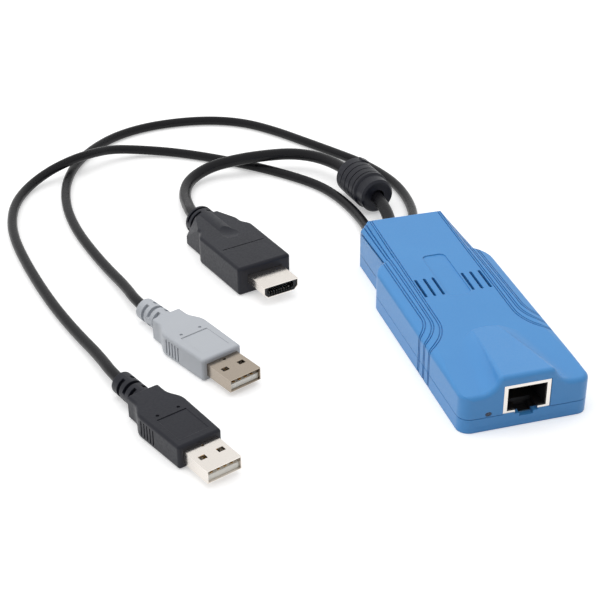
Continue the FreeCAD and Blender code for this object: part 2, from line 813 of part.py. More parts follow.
chip("controller_chip", "controller_side", "controller_side", "controller_high", "controller_from_front",
     s.controller_bevel)
chip("memory_chip", "memory_wide", "memory_long", "memory_high", "memory_from_front", s.memory_bevel)
chip("network_magnetics", "magnetics_wide", "magnetics_long", "magnetics_high", "magnetics_from_front",
     s.magnetics_bevel)


def crystal_can():
    """A long round-ended metal can with a brim."""
    front = FRONT + s.crystal_from_front
    wide, length = s.crystal_wide, s.crystal_long
    brim = rounded_prism(s.crystal_x, front, wide, length, wide, BOARD_TOP, BOARD_TOP + s.brim_high)
    can = rounded_prism(s.crystal_x, front + s.crystal_brim, wide - 2 * s.crystal_brim, length - 2 * s.crystal_brim,
                        wide, BOARD_TOP, BOARD_TOP + s.crystal_high)
    return brim.fuse(can)


shaped("crystal_can", crystal_can())


def board_capacitors():
    """Two rows of small block capacitors beside the chips."""
    first = FRONT + s.controller_from_front
    blocks = []
    for side in (-1, 1):
        for number in range(4):
            corner = Vector(side * s.capacitor_x - s.capacitor_wide / 2, first + number * s.capacitor_pitch,
                            BOARD_TOP)
            blocks.append(Part.makeBox(s.capacitor_wide, s.capacitor_long, s.capacitor_high, corner))
    return Part.makeCompound(blocks)


shaped("board_capacitors", board_capacitors())


# ---------------------------------------------------------------- network socket
def jack_nodes():
    """Housing with a plug bay and a stepped latch way, its folded shield and its comb of contacts."""
    wall, gap = s.shield_thick, s.lens_gap
    nose_back = INNER_FRONT + 2 * gap

    def case_block(inset):
        body = slab(JACK_HALF - inset, nose_back + inset, JACK_BACK - inset, BOARD_TOP + inset, s.jack_top - inset)
        nose = slab(JACK_HALF - inset, JACK_FRONT + inset, nose_back + OVER, s.part_line + inset, s.jack_top - inset)
        return body.fuse(nose).removeSplitter()
    window = slab(s.mouth_wide / 2, JACK_FRONT - OVER, JACK_FRONT + OVER, s.mouth_low, s.mouth_high)
    latch = [slab(half, JACK_FRONT - OVER, JACK_FRONT + s.plug_bay_long / 2, low, s.mouth_low + OVER)
             for half, low in ((s.latch_wide / 2, s.latch_step), (s.catch_wide / 2, s.latch_low))]
    open_back = slab(JACK_HALF - 2 * wall, JACK_BACK - OVER, JACK_BACK + OVER, BOARD_TOP - OVER, s.latch_low + OVER)
    shield = case_block(0).cut([case_block(wall), window, open_back] + latch)
    housing = case_block(wall + gap)
    bay = slab(s.bay_wide / 2, JACK_FRONT - OVER, JACK_FRONT + s.plug_bay_long, s.mouth_low + s.bay_edge,
               s.mouth_high - s.bay_edge)
    pins = []
    grooves = []
    for number in range(8):
        x = (number - 3.5) * s.pin_pitch
        start = Vector(x, JACK_FRONT + s.plug_bay_long + OVER, s.mouth_high - s.jack_pin_drop - s.jack_pin_fall)
        rise = math.degrees(math.atan2(s.jack_pin_fall, s.jack_pin_long))
        for made, around in ((pins, 0), (grooves, s.jack_pin_gap)):
            wide, thick = s.pin_wide + 2 * around, s.jack_pin_thick + 2 * around
            bar = Part.makeBox(wide, s.jack_pin_long + OVER, thick,
                               Vector(x - wide / 2, -s.jack_pin_long - OVER, -thick / 2))
            bar.rotate(Vector(x, 0, 0), Vector(1, 0, 0), -rise)
            made.append(bar.translated(Vector(0, start.y, start.z)))
    housing = housing.cut([bay] + latch + grooves)
    shaped("jack_shield", shield)
    shaped("jack_housing", housing)
    shaped("jack_contacts", Part.makeCompound(pins))


jack_nodes()


# ---------------------------------------------------------------- indicator
shaped("status_lens", rounded_slot(s.lens_wide, s.lens_high, FRONT + s.lens_gap, s.lens_long))
led = block("status_led", "led_body", "led_deep", "led_high", "-led_x",
            "-case_long/2 + 2*lens_gap + lens_long", BOARD_LEVEL)
node(led, "status_led")


# ---------------------------------------------------------------- leads inside and bushes
def header(name, wide, x):
    """A white wire-to-board header with an open top slot."""
    front = "case_long/2 - board_rear_in - header_rear_gap - header_long"
    outer = block(name + "_block", wide, "header_long", "header_high", x, front, BOARD_LEVEL)
    slot = block(name + "_slot", wide + " - 2*header_wall", "header_long", "header_high", x,
                 front + " - header_back_wall", BOARD_LEVEL + " + header_floor")
    return node(joined("Cut", name, outer, [slot]), name)


header("video_header", "video_header_wide", "0")
header("data_header_left", "data_header_wide", "-exit_x - header_shift")
header("data_header_right", "data_header_wide", "exit_x + header_shift")


def wires(count, near_x, far_x, wide):
    """Insulated wires that fan out straight from the cut end of a lead to its header."""
    header_back = REAR - s.board_rear_in - s.header_rear_gap + s.wire_gap
    pitch = wide / count
    made = []
    for number in range(count):
        place = number - (count - 1) / 2
        near = Vector(near_x + place * s.wire_pitch, LEAD_START - s.wire_gap, s.part_line)
        far = Vector(far_x + place * pitch, header_back, BOARD_TOP + OVER)
        made.append(Part.makeCylinder(s.wire_radius, (far - near).Length, near, far - near))
    return Part.makeCompound(made)


shaped("video_leads", wires(5, 0, 0, s.video_wire_span))
for side, label in ((-1, "left"), (1, "right")):
    shaped("data_leads_" + label,
           wires(4, side * s.exit_x, side * (s.exit_x + s.header_shift), s.data_wire_span))


def bush(name, cable, x):
    """A flanged bush in the rear wall: its bore grips the lead."""
    body = doc.addObject("PartDesign::Body", name)
    bore = "%s/2 + bush_gap" % cable
    neck = "%s/2 + bush_neck" % cable
    lip = "%s/2 + bush_neck + bush_lip" % cable
    low, high = "bush_flange", "bush_flange + wall + 0.1"
    outline = sketched(body, name + "_outline", "XZ_Plane",
                       [(bore, "0"), (lip, "0"), (lip, low), (neck, low), (neck, high), (lip, high),
                        (neck, high + " + bush_proud"), (bore, high + " + bush_proud")])
    turn = body.newObject("PartDesign::Revolution", name + "_turn")
    turn.Profile = outline
    turn.ReferenceAxis = (outline, ["V_Axis"])
    turn.Angle = 360
    body.Placement = Placement(Vector(x, INNER_REAR - s.bush_flange - s.bush_gap, s.part_line),
                               Rotation(Vector(1, 0, 0), -90))
    return node(body, name)


bush("video_bush", "video_cable", 0)
bush("data_bush_left", "data_cable", -s.exit_x)
bush("data_bush_right", "data_cable", s.exit_x)


# ---------------------------------------------------------------- ferrite on the video lead
FERRITE_PLACE = Placement(Vector(s.ferrite_x, s.ferrite_y, s.ferrite_radius),
                          Rotation(Vector(0, 0, 1), s.ferrite_turn) * Rotation(Vector(1, 0, 0), -90))


def ferrite_nodes():
    """A sintered sleeve inside a moulded cover: collar, ringed barrel and a latch lug."""
    bore = s.video_cable / 2 + s.bore_gap
    end, edge = s.ferrite_long, s.ferrite_edge
    step = s.collar_long + s.collar_step
    profile = [(bore, 0), (s.collar_radius - edge, 0), (s.collar_radius, edge), (s.collar_radius, s.collar_long),
               (s.ferrite_radius - edge, step), (s.ferrite_radius, step + edge)]
    rings = int((end - s.collar_long - 2 * edge - s.ring_first) / s.ring_pitch)
    for number in range(rings):
        low = s.collar_long + edge + s.ring_first + number * s.ring_pitch
        profile += [(s.ferrite_radius, low), (s.ferrite_radius - s.ring_deep, low),
                    (s.ferrite_radius - s.ring_deep, low + s.ring_wide), (s.ferrite_radius, low + s.ring_wide)]
    profile += [(s.ferrite_radius, end - edge), (s.ferrite_radius - edge, end), (bore, end)]
    core_low = (end + s.collar_long - s.core_long) / 2
    pocket = turned_profile([(0, core_low - s.core_gap), (s.core_radius + s.core_gap, core_low - s.core_gap),
                             (s.core_radius + s.core_gap, core_low + s.core_long + s.core_gap),
                             (0, core_low + s.core_long + s.core_gap)])
    lug = Part.makeBox(s.lug_wide, s.lug_sink + s.lug_proud, s.lug_long,
                       Vector(-s.lug_wide / 2, s.ferrite_radius - s.lug_sink, end - s.lug_from_end))
    lug.rotate(Vector(0, 0, 0), Vector(0, 0, 1), s.lug_turn)
    cover = turned_profile(profile).fuse(lug).cut(pocket)
    core = turned_profile([(bore, core_low), (s.core_radius, core_low), (s.core_radius, core_low + s.core_long),
                           (bore, core_low + s.core_long)])
    shaped("ferrite_cover", cover, FERRITE_PLACE)
    shaped("ferrite_core", core, FERRITE_PLACE)


ferrite_nodes()


# ---------------------------------------------------------------- moulded grips
def curve(*points):
    sweep = Part.BezierCurve()
    sweep.setPoles([Vector(*point) for point in points])
    return sweep.toShape()


def grip_plan(front, front_half, wide_y, wide_half, neck_y, neck_half, end, high):
    """Plan of a grip: sides that swell slightly, then sweep in to the neck in an S curve."""
    slope = (wide_half - front_half) / (wide_y - front)
    reach = 0.45 * (neck_y - wide_y)
    edges = []
    for side in (-1, 1):
        start, wide = (side * front_half, front, 0), (side * wide_half, wide_y, 0)
        bend = (side * (wide_half + slope * reach), wide_y + reach, 0)
        pull, neck = (side * neck_half, neck_y - reach, 0), (side * neck_half, neck_y, 0)
        edges += [line(start, wide), curve(wide, bend, pull, neck), line(neck, (side * neck_half, end, 0))]
    edges += [line((-front_half, front, 0), (front_half, front, 0)), line((-neck_half, end, 0), (neck_half, end, 0))]
    wire = Part.Wire(Part.__sortEdges__(edges))
    return Part.Face(wire).extrude(Vector(0, 0, high))


def rounded_grip(form, radius, front, end):
    """Rounds the edges that run along a grip, and its front rim."""
    edges = [edge for edge in form.Edges if edge.BoundBox.YLength > radius or edge.BoundBox.YMax < front + 0.01]
    return form.makeFillet(radius, edges)


def side_ribs(half, first, count, low, high):
    """Finger grooves across both sides of a grip."""
    cuts = []
    for number in range(count):
        for side in (-1, 1):
            corner = Vector(side * half - s.rib_deep, first + number * s.rib_pitch, low)
            cuts.append(Part.makeBox(2 * s.rib_deep, s.rib_wide, high - low, corner))
    return cuts


def relief_slots(radius, axis_z, first, pitch, count):
    """Staggered part rings that let a strain relief bend."""
    cuts = []
    for number in range(count):
        place, along = Vector(0, first + number * pitch, axis_z), Vector(0, 1, 0)
        ring = Part.makeCylinder(radius + OVER, pitch * 0.45, place, along)
        core = Part.makeCylinder(radius * 0.72, pitch * 0.45, place, along)
        web = slab(s.slot_web / 2, place.y - OVER, place.y + pitch, axis_z - 2 * radius, axis_z + 2 * radius)
        if number % 2:
            web.rotate(Vector(0, 0, axis_z), Vector(0, 1, 0), 90)
        cuts.append(ring.cut([core, web]))
    return cuts


def data_plug(name, place):
    """One data plug: folded shell, tongue with four contacts, and a moulded grip with its relief."""
    axis, half, high = s.data_axis, s.data_shell_wide / 2, s.data_shell_high / 2
    wall, front = s.data_shell_wall, s.data_shell_out
    back = front + s.data_shell_in
    shell = slab(half, 0, back, axis - high, axis + high)
    shell = shell.cut(slab(half - wall, -OVER, back + OVER, axis - high + wall, axis + high - wall))
    for side in (-1, 1):
        window = slab(s.window_wide / 2, s.window_y - s.window_long / 2, s.window_y + s.window_long / 2, 0, SKY)
        shell = shell.cut(window.translated(Vector(side * s.window_x, 0, -OVER)))
    shell = shell.cut(Part.makeCylinder(s.lock_radius, SKY, Vector(0, front - s.lock_from_grip, axis)))
    shaped(name + "_shell", shell, place)
    floor = axis - high + wall + s.tongue_gap
    tongue = slab(s.tongue_wide / 2, s.tongue_set_back, back, floor, floor + s.tongue_high)
    shaped(name + "_tongue", tongue, place)
    corner = Vector(-1.5 * s.contact_pitch - s.contact_wide / 2, s.tongue_set_back + s.contact_set_back,
                    floor + s.tongue_high)
    strips = [Part.makeBox(s.contact_wide, s.contact_long, s.contact_thick,
                           corner + Vector(number * s.contact_pitch, 0, 0)) for number in range(4)]
    shaped(name + "_contacts", Part.makeCompound(strips), place)
    grip = grip_plan(front, s.data_grip_front / 2, s.data_shoulder, s.data_grip_wide / 2, s.data_grip_end - 3,
                     s.data_neck_wide / 2, s.data_grip_end, s.data_grip_high)
    grip = rounded_grip(grip, s.data_grip_round, front, s.data_grip_end)
    neck = Part.makeCone(s.data_tail_radius + s.neck_swell, s.data_tail_radius, s.data_tail_end - s.data_grip_end,
                         Vector(0, s.data_grip_end, axis), Vector(0, 1, 0))
    grip = grip.fuse(neck)
    grooves = side_ribs(s.data_grip_wide / 2, s.data_shoulder - s.rib_from_shoulder, 5, s.rib_margin,
                        s.data_grip_high - s.rib_margin)
    grooves += relief_slots(s.data_tail_radius, axis, s.data_grip_end + s.data_slot_first, s.data_slot_pitch, 3)
    line_y = s.data_shoulder - s.line_from_shoulder
    grooves.append(slab(s.line_half, line_y, line_y + s.line_wide, s.data_grip_high - s.line_deep, SKY))
    grooves.append(slab(s.line_half, front + s.panel_from_front, line_y, s.data_grip_high - s.panel_deep, SKY))
    for side in (-1, 1):
        dimple = Vector(side * s.dimple_x, s.data_shoulder - s.dimple_from_shoulder, s.data_grip_high - s.dimple_deep)
        grooves.append(Part.makeCylinder(s.dimple_radius, SKY, dimple))
    gap = s.grip_gap
    bay = slab(half + gap, 0, back + gap, axis - high - gap, axis + high + gap)
    bore = Part.makeCylinder(s.data_cable / 2 + gap, SKY, Vector(0, s.data_tail_end - s.bore_long, axis),
                             Vector(0, 1, 0))
    shaped(name + "_grip", grip.cut(grooves + [bay, bore]), place)


BLACK_PLACE = Placement(Vector(-95.1, -55.75, 0), Rotation(Vector(0, 0, 1), 21.1))
GREY_PLACE = Placement(Vector(-77.75, -12.62, 0), Rotation(Vector(0, 0, 1), 22.9))
VIDEO_PLACE = Placement(Vector(-52.0, 37.07, 0), Rotation(Vector(0, 0, 1), 15.3))
data_plug("black_plug", BLACK_PLACE)
data_plug("grey_plug", GREY_PLACE)


def video_shell_form(inset, front, back):
    """The D-shaped section of the video plug: a low box with its two lower corners cut off."""
    half, high, cut = s.video_shell_wide / 2 - inset, s.video_shell_high / 2 - inset, s.video_shell_cut - inset / 2
    axis = s.video_axis
    points = [(-half, axis + high), (half, axis + high), (half, axis - high + cut), (half - cut, axis - high),
              (-half + cut, axis - high), (-half, axis - high + cut)]
    wire = Part.makePolygon([Vector(x, front, z) for x, z in points + points[:1]])
    return Part.Face(wire).extrude(Vector(0, back - front, 0))


def video_plug():
    """The video plug: D-shaped shell, insert whose bay has a row of contacts above and below with a
    comb of notches in front of each row, and a broad moulded grip."""
    axis, front = s.video_axis, s.video_shell_out
    back = front + s.video_shell_in
    shell = video_shell_form(0, 0, back).cut(video_shell_form(s.data_shell_wall, -OVER, back + OVER))
    shaped("video_plug_shell", shell, VIDEO_PLACE)
    gap, pitch, wide = s.grip_gap, s.video_contact_pitch, s.video_contact_wide
    low, high = axis - s.video_bay_high / 2, axis + s.video_bay_high / 2
    insert = video_shell_form(s.data_shell_wall + gap, s.insert_set_back, back)
    insert = insert.cut(slab(s.video_bay_wide / 2, -OVER, back - s.video_bay_floor, low, high))
    strips = []
    for count, floor, outward in ((10, high - s.contact_thick, 1), (9, low, -1)):
        for number in range(count):
            x = (number - (count - 1) / 2) * pitch
            strips.append(Part.makeBox(wide, s.contact_long, s.contact_thick,
                                       Vector(x - wide / 2, s.insert_set_back + s.comb_long, floor)))
            tooth = Part.makeBox(s.comb_wide, s.comb_long + OVER, high, Vector(x - s.comb_wide / 2, -OVER, 0))
            insert = insert.cut(tooth.translated(Vector(0, s.insert_set_back, low - high if outward < 0 else high)))
    shaped("video_plug_insert", insert, VIDEO_PLACE)
    shaped("video_plug_contacts", Part.makeCompound(strips), VIDEO_PLACE)
    grip = grip_plan(front, s.video_grip_front / 2, s.video_shoulder, s.video_grip_wide / 2,
                     s.video_shoulder + s.video_sweep, s.video_neck_wide / 2, s.video_grip_end, s.video_grip_high)
    grip = rounded_grip(grip, s.video_grip_round, front, s.video_grip_end)
    shoulder = Vector(s.video_grip_wide / 2, s.video_shoulder, s.video_grip_high)
    bevel = above(shoulder, Vector(s.video_neck_wide / 2, s.video_grip_end, s.bevel_low),
                  Vector(s.bevel_inner, s.video_grip_end, s.video_grip_high))
    grip = grip.cut([bevel, bevel.mirror(Vector(0, 0, 0), Vector(1, 0, 0))])
    tail_axis = s.video_tail_radius
    tail = Part.makeCylinder(s.video_tail_radius, s.video_tail_end - s.video_tail_start,
                             Vector(0, s.video_tail_start, tail_axis), Vector(0, 1, 0))
    grip = grip.fuse(tail)
    grooves = relief_slots(s.video_tail_radius, tail_axis, s.video_grip_end + s.video_slot_first,
                           s.video_slot_pitch, 2)
    line_y = s.video_shoulder - s.video_line_from_shoulder
    grooves.append(slab(s.video_line_half, line_y, line_y + s.line_wide, s.video_grip_high - s.line_deep, SKY))
    ball = (s.thumb_radius ** 2 + s.thumb_deep ** 2) / (2 * s.thumb_deep)
    thumb = Vector(0, s.video_shoulder - s.thumb_from_shoulder, s.video_grip_high - s.thumb_deep + ball)
    grooves.append(Part.makeSphere(ball, thumb))
    bay = video_shell_form(-gap, 0, back + gap)
    bore = Part.makeCylinder(s.video_cable / 2 + gap, SKY,
                             Vector(0, s.video_tail_end - s.bore_long, tail_axis), Vector(0, 1, 0))
    shaped("video_plug_grip", grip.cut(grooves + [bay, bore]), VIDEO_PLACE)


video_plug()


# ---------------------------------------------------------------- leads
def lead_path(points):
    """Straight runs joined by tangent arcs, each as large as its two runs allow."""
    points = [Vector(*point) for point in points]
    edges, radii = [], []
    start = points[0]
    for before, corner, after in zip(points, points[1:], points[2:]):
        come, leave = (corner - before).normalize(), (after - corner).normalize()
        turn = come.getAngle(leave)
        cut = 0.45 * min((corner - before).Length, (after - corner).Length)
        radius = cut / math.tan(turn / 2)
        first, last = corner - come * cut, corner + leave * cut
        inward = (leave - come).normalize()
        centre_gap = radius / math.cos(turn / 2)
        middle = corner + inward * (centre_gap - radius)
        edges += [Part.LineSegment(start, first).toShape(), Part.Arc(first, middle, last).toShape()]
        radii.append(radius)
        start = last
    edges.append(Part.LineSegment(start, points[-1]).toShape())
    return Part.Wire(edges), radii


def lead(name, points, diameter):
    """A plain lead: a round section swept along its path."""
    path, radii = lead_path(points)
    along = Vector(*points[1]) - Vector(*points[0])
    ring = Part.Wire(Part.makeCircle(diameter / 2, Vector(*points[0]), along))
    tube = path.makePipeShell([ring], True, True)
    expected = path.Length * math.pi * diameter ** 2 / 4
    print("%s: length %.1f, volume ratio %.4f, smallest radius %.1f, radii %s" % (
        name, path.Length, tube.Volume / expected, min(radii), ", ".join("%.0f" % radius for radius in radii)))
    return shaped(name, tube)


def plug_point(place, y, z):
    return tuple(place.multVec(Vector(0, y, z)))


DATA_BORE = s.data_tail_end - s.bore_long + s.bore_end_gap
VIDEO_BORE = s.video_tail_end - s.bore_long + s.bore_end_gap
VIDEO_ROUTE = [
    (0, LEAD_START, s.part_line), (0, 66, s.part_line), (3.41, 86.35, 7.5), (-1.22, 118.5, 7.5),
    (-7.5, 133.5, 7.0), (-17.5, 141.2, 6.9), (-30, 141.6, 7.4), (-41, 141.5, 7.2), (-53, 143.2, 4.8),
    (-63.3, 137.2, 2.8), (-67.8, 125.5, 2.4), (-69, 112.5, 3.8),
    plug_point(VIDEO_PLACE, s.video_tail_end + 5, s.video_tail_radius),
    plug_point(VIDEO_PLACE, VIDEO_BORE, s.video_tail_radius)]
LEFT_ROUTE = [
    (-s.exit_x, LEAD_START, s.part_line), (-s.exit_x, 63, s.part_line), (-7.3, 74, 3.6), (-6.4, 84.5, 2.3),
    (-6.9, 95.5, 1.9), (-9.3, 108.5, 1.9), (-13.6, 119.4, 1.95), (-21, 130, 1.9), (-32, 142.5, 1.9),
    (-47.5, 156.5, 1.9), (-62, 167.2, 1.9), (-76, 172.8, 2.6), (-88.5, 171.5, 5.2), (-98.5, 165.5, 7.3),
    (-108.5, 161, 7.2), (-118.5, 158.4, 4.4), (-127.5, 151.5, 2), (-134, 138.5, 1.9), (-137.1, 122.5, 1.9),
    (-137.3, 107, 1.9), (-135.6, 90, 1.9), (-132.9, 71.5, 1.9), (-129.4, 53, 1.9), (-124.7, 34, 2.1),
    (-119.9, 16, 3.3), plug_point(BLACK_PLACE, s.data_tail_end + 4.5, s.data_axis),
    plug_point(BLACK_PLACE, DATA_BORE, s.data_axis)]
RIGHT_ROUTE = [
    (s.exit_x, LEAD_START, s.part_line), (s.exit_x, 63, s.part_line), (11.2, 74, 4.1), (15, 85, 2.8),
    (17.3, 97.5, 1.9), (17.4, 109.5, 1.9), (15, 121.5, 1.9), (10.4, 134, 1.9), (2.8, 147, 1.9),
    (-6.2, 161.5, 1.9), (-15.9, 177, 1.9), (-26.5, 189.4, 1.9), (-39.5, 196.4, 1.9), (-54.5, 198.9, 1.9),
    (-70.5, 197.6, 1.9), (-84.9, 191.5, 1.9), (-96.4, 181, 1.9), (-104.8, 169, 1.9), (-110.4, 155.5, 1.9),
    (-113.5, 141.5, 1.9), (-114.7, 125.5, 1.9), (-113.6, 108, 1.9), (-110.7, 91, 1.9), (-107.2, 74.5, 2.1),
    (-103.6, 58.5, 3.2), plug_point(GREY_PLACE, s.data_tail_end + 4.5, s.data_axis),
    plug_point(GREY_PLACE, DATA_BORE, s.data_axis)]
lead("video_cable", VIDEO_ROUTE, s.video_cable)
lead("data_cable_left", LEFT_ROUTE, s.data_cable)
lead("data_cable_right", RIGHT_ROUTE, s.data_cable)


# ---------------------------------------------------------------- checks and files
def finish():
    doc.recompute()
    for item in doc.Objects:
        faults = [word for word in item.State if word in ("Invalid", "Error")]
        if faults:
            raise RuntimeError("%s did not rebuild: %s" % (item.Label, faults))
    for item in NODES:
        if item.Shape.isNull() or not item.Shape.isValid():
            raise RuntimeError("%s has no valid shape" % item.Label)
    os.makedirs("parts", exist_ok=True)
    for item in NODES:
        item.Shape.exportStep("parts/%s.step" % item.Label)
    print("%d sub-parts written" % len(NODES))


finish()
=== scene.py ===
import json
import math

import bpy
from mathutils import Matrix, Vector

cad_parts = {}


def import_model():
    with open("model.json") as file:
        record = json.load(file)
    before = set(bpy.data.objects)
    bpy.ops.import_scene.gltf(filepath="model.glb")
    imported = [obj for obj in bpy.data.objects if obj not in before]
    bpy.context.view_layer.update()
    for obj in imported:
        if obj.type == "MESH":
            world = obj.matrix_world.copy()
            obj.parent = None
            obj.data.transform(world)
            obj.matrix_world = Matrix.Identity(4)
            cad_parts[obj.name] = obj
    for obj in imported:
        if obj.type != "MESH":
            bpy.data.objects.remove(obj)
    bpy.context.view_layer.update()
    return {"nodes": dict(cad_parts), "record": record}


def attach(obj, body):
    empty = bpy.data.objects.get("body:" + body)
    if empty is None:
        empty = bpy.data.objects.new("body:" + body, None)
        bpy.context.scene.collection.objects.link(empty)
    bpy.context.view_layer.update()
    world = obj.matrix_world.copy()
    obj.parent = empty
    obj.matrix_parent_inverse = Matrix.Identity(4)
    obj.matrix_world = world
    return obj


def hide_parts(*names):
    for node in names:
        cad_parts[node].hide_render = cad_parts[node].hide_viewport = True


# Keyboard, video and mouse dongle on a white studio table. Metres, in the CAD frame:
# origin under the middle of the case, +X right, +Y towards the leads, +Z up.

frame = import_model()
NODES = frame["nodes"]
MM = 0.001
TONE_SPOTS = 55        # drifts of tone a metre: patches of about 18 mm
CORNER_SAMPLES = 6
LEAD_STEPS = 14        # steps along a lead between two control points
LEAD_SIDES = 7         # rounding of a lead's section


# ---------------------------------------------------------------- small helpers
def srgb(text):
    """Linear colour of a six-digit sRGB hex."""
    parts = [int(text[i:i + 2], 16) / 255 for i in (0, 2, 4)]
    return tuple(p / 12.92 if p <= 0.04045 else ((p + 0.055) / 1.055) ** 2.4 for p in parts) + (1.0,)


def add(tree, kind, inputs=None, **settings):
    """One shader node, with its settings, and its inputs set to values or linked from sockets."""
    made = tree.nodes.new(kind)
    for name, value in settings.items():
        setattr(made, name, value)
    for name, value in (inputs or {}).items():
        if isinstance(value, bpy.types.NodeSocket):
            tree.links.new(value, made.inputs[name])
        else:
            made.inputs[name].default_value = value
    return made


def blank_material(name):
    """A material with an empty tree and its output."""
    made = bpy.data.materials.new(name)
    made.use_nodes = True
    made.node_tree.nodes.clear()
    return made, made.node_tree, made.node_tree.nodes.new("ShaderNodeOutputMaterial")


def spots(tree, where, scale, detail, stretch=(1, 1, 1)):
    """Noise between 0 and 1 in object space, at so many features a metre."""
    place = add(tree, "ShaderNodeMapping", {"Vector": where, "Scale": stretch})
    return add(tree, "ShaderNodeTexNoise", {"Vector": place.outputs["Vector"], "Scale": scale, "Detail": detail})


def finish_material(name, low, high, rough, bump, scale, metal=0.0, stretch=(1, 1, 1), edge=0.0, **shader):
    """A finish whose colour drifts between two tones, whose gloss varies, and whose skin has a fine relief.

    low and high are sRGB hex tones, rough the two ends of the gloss range, bump the relief's height in
    millimetres and scale its features a metre. edge is the radius in millimetres of the small rounding that a
    mould or a die leaves on every corner, which catches the light as a fine line."""
    made, tree, out = blank_material(name)
    where = add(tree, "ShaderNodeTexCoord").outputs["Object"]
    broad = spots(tree, where, TONE_SPOTS, 2.0, stretch)
    fine = spots(tree, where, scale, 3.0, stretch)
    tone = add(tree, "ShaderNodeMix", {"Factor": broad.outputs["Fac"]}, data_type="RGBA")
    tone.inputs["A"].default_value = srgb(low)
    tone.inputs["B"].default_value = srgb(high)
    gloss = add(tree, "ShaderNodeMapRange", {"Value": fine.outputs["Fac"], "From Min": 0.3, "From Max": 0.7,
                                             "To Min": rough[0], "To Max": rough[1]})
    relief = add(tree, "ShaderNodeBump", {"Height": fine.outputs["Fac"], "Strength": 1.0, "Distance": bump * MM})
    if edge:
        corner = add(tree, "ShaderNodeBevel", {"Radius": edge * MM}, samples=CORNER_SAMPLES)
        tree.links.new(corner.outputs["Normal"], relief.inputs["Normal"])
    surface = add(tree, "ShaderNodeBsdfPrincipled",
                  {"Base Color": tone.outputs["Result"], "Roughness": gloss.outputs["Result"], "Metallic": metal,
                   "Normal": relief.outputs["Normal"], **shader})
    tree.links.new(surface.outputs["BSDF"], out.inputs["Surface"])
    return made


# ---------------------------------------------------------------- finishes
FINISHES = {
    # spark-eroded satin ABS, moulded in blue. Its grain is guessed at 0.2 mm, too fine to show, and is drawn at
    # about 0.8 mm, but so shallow that a render of the whole object still shows the roof as smooth
    "satin_blue_abs": finish_material("satin_blue_abs", "3F8ACB", "4690D0", (0.29, 0.42), 0.016, 1300, edge=0.3),
    # zinc-plated self-tapping screws
    "zinc_steel": finish_material("zinc_steel", "B9BCC0", "CFD1D2", (0.24, 0.38), 0.002, 2600, 1.0),
    # clear light pipe, coloured dark blue: painted shade standing in for the dark of its small recessed window
    "clear_acrylic_painted_shade": finish_material("clear_acrylic_painted_shade", "3C5C8C", "44669A", (0.05, 0.10), 0.001, 900,
                                     **{"Transmission Weight": 0.75, "IOR": 1.49}),
    # milky epoxy of the indicator
    "led_epoxy": finish_material("led_epoxy", "D9DCD2", "E6E8DE", (0.2, 0.3), 0.001, 1500),
    # green solder mask over glass fibre
    "solder_mask": finish_material("solder_mask", "12502C", "1B6638", (0.22, 0.36), 0.006, 1900),
    # matt black moulding compound of the chips, and the socket's and video plug's black plastic
    "black_pbt": finish_material("black_pbt", "0C0C0E", "151518", (0.42, 0.58), 0.004, 4200),
    # bright nickel over folded sheet, with faint rolling marks drawn out along Y
    "bright_nickel": finish_material("bright_nickel", "E2DBD3", "F0EBE5", (0.13, 0.22), 0.0012, 1800, 1.0,
                                     stretch=(1, 0.25, 1)),
    # the grey plug's nickel is a little duller, and drawn darker and warmer: its darker tone is painted shade,
    # standing in for the dimmer reflections on this shell
    "warm_nickel_painted_shade": finish_material("warm_nickel_painted_shade", "A39789", "B5AA9D", (0.17, 0.27), 0.0014, 1700, 1.0,
                                   stretch=(1, 0.25, 1)),
    # fired ceramic of the block capacitors
    "tan_ceramic": finish_material("tan_ceramic", "A98660", "BC9A74", (0.4, 0.55), 0.003, 3000),
    # natural nylon of the wire headers
    "white_nylon": finish_material("white_nylon", "E4E0D3", "EFECE1", (0.38, 0.5), 0.003, 2500),
    # red PVC wire cover
    "red_pvc": finish_material("red_pvc", "A81E1A", "BC2A24", (0.35, 0.45), 0.002, 2500),
    # flash gold on spring contacts
    "contact_gold": finish_material("contact_gold", "D9A441", "E9BD63", (0.16, 0.26), 0.001, 2200, 1.0),
    # tin over the video plug's contacts, pale and bright where the gold ones are warm
    "bright_tin": finish_material("bright_tin", "F1EEE6", "FAF8F2", (0.3, 0.42), 0.001, 2200, 1.0),
    # black thermoplastic rubber of the bushes
    "black_rubber": finish_material("black_rubber", "1D1D20", "28282B", (0.5, 0.62), 0.008, 3600),
    # extruded PVC cover of the leads: charcoal, with an uneven gloss drawn at about 1 mm; its relief hardly shows
    "charcoal_pvc": finish_material("charcoal_pvc", "0C0C0F", "141418", (0.24, 0.40), 0.028, 1000,
                                    **{"Specular IOR Level": 0.22}),
    # the ferrite and its clip-on cover: dull dark grey, with a grain drawn at about 0.8 mm that hardly shows
    "ferrite_grey": finish_material("ferrite_grey", "3A3A40", "4A4A50", (0.5, 0.68), 0.026, 1200),
    # satin charcoal PVC of the moulded grips, with a mould grain drawn at about 0.8 mm that hardly shows
    "charcoal_grip": finish_material("charcoal_grip", "15161E", "1E202A", (0.33, 0.48), 0.026, 1250, edge=0.25,
                                     **{"Specular IOR Level": 0.3}),
    # satin grey PVC of the second data plug's grip, with the same mould grain
    "grey_grip": finish_material("grey_grip", "AEB2B8", "B8BCC2", (0.36, 0.5), 0.018, 1250, edge=0.25),
    # ivory tongue of a data plug
    "ivory_nylon": finish_material("ivory_nylon", "F7F4EA", "FCFAF3", (0.36, 0.48), 0.003, 2600),
}
